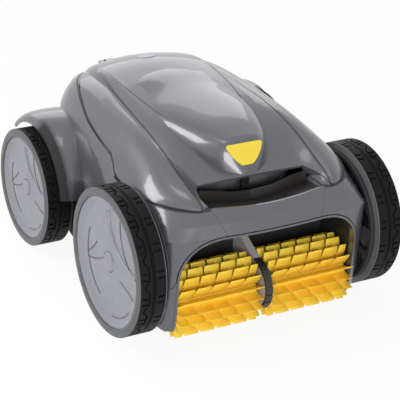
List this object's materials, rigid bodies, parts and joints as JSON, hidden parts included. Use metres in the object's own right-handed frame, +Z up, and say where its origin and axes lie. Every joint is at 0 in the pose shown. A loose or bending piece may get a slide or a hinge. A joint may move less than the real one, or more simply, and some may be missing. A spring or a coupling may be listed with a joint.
{
  "type": "robotic pool cleaner",
  "caption": "Wheeled pool cleaning robot with a hinged hood, push latch, two brush rollers, internal wheel gears, filter basket and pump outlet.",
  "frame": {"origin": "on the floor under the middle of the bounding box", "axes": "+X to the machine's right as seen from behind it, -Y forwards past the brushes, +Z up"},
  "size_m": [0.43, 0.48, 0.2696],
  "materials": {
    "body_grey": "metallic gloss",
    "cap_grey": "satin",
    "hub_grey": "satin",
    "tyre_rubber": "matt",
    "brush_yellow": "matt",
    "core_dark": "matt",
    "button_yellow": "gloss",
    "dark_plastic": "fine grained",
    "inlay_blue": "gloss",
    "steel": "bright",
    "gear_dark": "satin",
    "deck_grey": "satin",
    "motor_black": "satin",
    "basket_grey": "satin",
    "mesh_white": "woven"
  },
  "bodies": {
    "body": {"side_shell_left": "body_grey", "side_shell_right": "body_grey", "rear_shell": "body_grey", "front_panel": "body_grey", "mouth_trim": "body_grey", "front_handle": "dark_plastic", "brush_housing": "dark_plastic", "brush_divider": "deck_grey", "divider_ring": "dark_plastic", "lower_chassis": "deck_grey", "suction_neck": "deck_grey", "side_frame_left": "deck_grey", "side_frame_right": "deck_grey", "gearbox_left": "motor_black", "gearbox_right": "motor_black", "motor_block": "motor_black", "motor_screws": "steel", "outlet_duct": "deck_grey", "outlet_grille": "dark_plastic", "filter_basket": "basket_grey", "filter_mesh": "mesh_white", "filter_lid": "basket_grey", "cable_gland": "motor_black", "gland_nut": "motor_black", "axle_pins": "steel", "hinge_pins": "steel", "flap_pin": "steel"},
    "hood": {"hood": "body_grey", "top_inlay": "inlay_blue", "latch_spring": "steel"},
    "latch": {"latch_button": "button_yellow", "latch_leg": "dark_plastic"},
    "propeller": {"propeller": "gear_dark"},
    "suction_flap": {"suction_flap": "motor_black"},
    "wheel_front_left": {"tyre_front_left": "tyre_rubber", "hub_front_left": "hub_grey", "hubcap_front_left": "cap_grey"},
    "wheel_front_right": {"tyre_front_right": "tyre_rubber", "hub_front_right": "hub_grey", "hubcap_front_right": "cap_grey"},
    "wheel_rear_left": {"tyre_rear_left": "tyre_rubber", "hub_rear_left": "hub_grey", "hubcap_rear_left": "cap_grey"},
    "wheel_rear_right": {"tyre_rear_right": "tyre_rubber", "hub_rear_right": "hub_grey", "hubcap_rear_right": "cap_grey"},
    "brush_left": {"brush_sleeve_left": "brush_yellow", "brush_core_left": "core_dark", "brush_pinion_left": "gear_dark"},
    "drive_pinion_front_left": {"drive_pinion_front_left": "gear_dark"},
    "drive_pinion_rear_left": {"drive_pinion_rear_left": "gear_dark"},
    "brush_right": {"brush_sleeve_right": "brush_yellow", "brush_core_right": "core_dark", "brush_pinion_right": "gear_dark"},
    "drive_pinion_front_right": {"drive_pinion_front_right": "gear_dark"},
    "drive_pinion_rear_right": {"drive_pinion_rear_right": "gear_dark"}
  },
  "joints": [
    {"name": "hood_hinge", "type": "hinge", "parent": "body", "child": "hood", "pos_m": [0, 0.232, 0.238], "axis": [-1, 0, 0], "range_deg": [0, 75]},
    {"name": "latch_press", "type": "slide", "parent": "hood", "child": "latch", "axis": [0, 0.8797, -0.4756], "range_m": [0, 0.004], "stiffness_N_per_m": 900, "springref_m": -0.002, "deforming": ["latch_spring"]},
    {"name": "wheel_front_left_spin", "type": "hinge", "parent": "body", "child": "wheel_front_left", "pos_m": [-0.193, -0.133, 0.107], "axis": [1, 0, 0], "continuous": true},
    {"name": "wheel_front_right_spin", "type": "hinge", "parent": "body", "child": "wheel_front_right", "pos_m": [0.193, -0.133, 0.107], "axis": [1, 0, 0], "continuous": true},
    {"name": "wheel_rear_left_spin", "type": "hinge", "parent": "body", "child": "wheel_rear_left", "pos_m": [-0.193, 0.1495, 0.0905], "axis": [1, 0, 0], "continuous": true},
    {"name": "wheel_rear_right_spin", "type": "hinge", "parent": "body", "child": "wheel_rear_right", "pos_m": [0.193, 0.1495, 0.0905], "axis": [1, 0, 0], "continuous": true},
    {"name": "brush_left_spin", "type": "hinge", "parent": "body", "child": "brush_left", "pos_m": [-0.1785, -0.18453, 0.05251], "axis": [1, 0, 0], "continuous": true},
    {"name": "drive_pinion_front_left_spin", "type": "hinge", "parent": "body", "child": "drive_pinion_front_left", "pos_m": [-0.1785, -0.06023, 0.08886], "axis": [1, 0, 0], "continuous": true},
    {"name": "drive_pinion_rear_left_spin", "type": "hinge", "parent": "body", "child": "drive_pinion_rear_left", "pos_m": [-0.1785, 0.0884, 0.08623], "axis": [1, 0, 0], "continuous": true},
    {"name": "brush_right_spin", "type": "hinge", "parent": "body", "child": "brush_right", "pos_m": [0.1785, -0.18453, 0.05251], "axis": [1, 0, 0], "continuous": true},
    {"name": "drive_pinion_front_right_spin", "type": "hinge", "parent": "body", "child": "drive_pinion_front_right", "pos_m": [0.1785, -0.06023, 0.08886], "axis": [1, 0, 0], "continuous": true},
    {"name": "drive_pinion_rear_right_spin", "type": "hinge", "parent": "body", "child": "drive_pinion_rear_right", "pos_m": [0.1785, 0.0884, 0.08623], "axis": [1, 0, 0], "continuous": true},
    {"name": "propeller_spin", "type": "hinge", "parent": "body", "child": "propeller", "pos_m": [0, 0.196, 0.092], "axis": [0, 1, 0], "continuous": true},
    {"name": "flap_hinge", "type": "hinge", "parent": "body", "child": "suction_flap", "pos_m": [0, -0.0435, 0.137], "axis": [-1, 0, 0], "range_deg": [0, 80]}
  ],
  "couplings": [
    {"joint": "brush_left_spin", "follows": "wheel_front_left_spin", "ratio": 7},
    {"joint": "wheel_rear_left_spin", "follows": "wheel_front_left_spin", "ratio": 1.1864},
    {"joint": "drive_pinion_front_left_spin", "follows": "wheel_front_left_spin", "ratio": 7},
    {"joint": "drive_pinion_rear_left_spin", "follows": "wheel_front_left_spin", "ratio": 7},
    {"joint": "brush_right_spin", "follows": "wheel_front_right_spin", "ratio": 7},
    {"joint": "wheel_rear_right_spin", "follows": "wheel_front_right_spin", "ratio": 1.1864},
    {"joint": "drive_pinion_front_right_spin", "follows": "wheel_front_right_spin", "ratio": 7},
    {"joint": "drive_pinion_rear_right_spin", "follows": "wheel_front_right_spin", "ratio": 7}
  ]
}
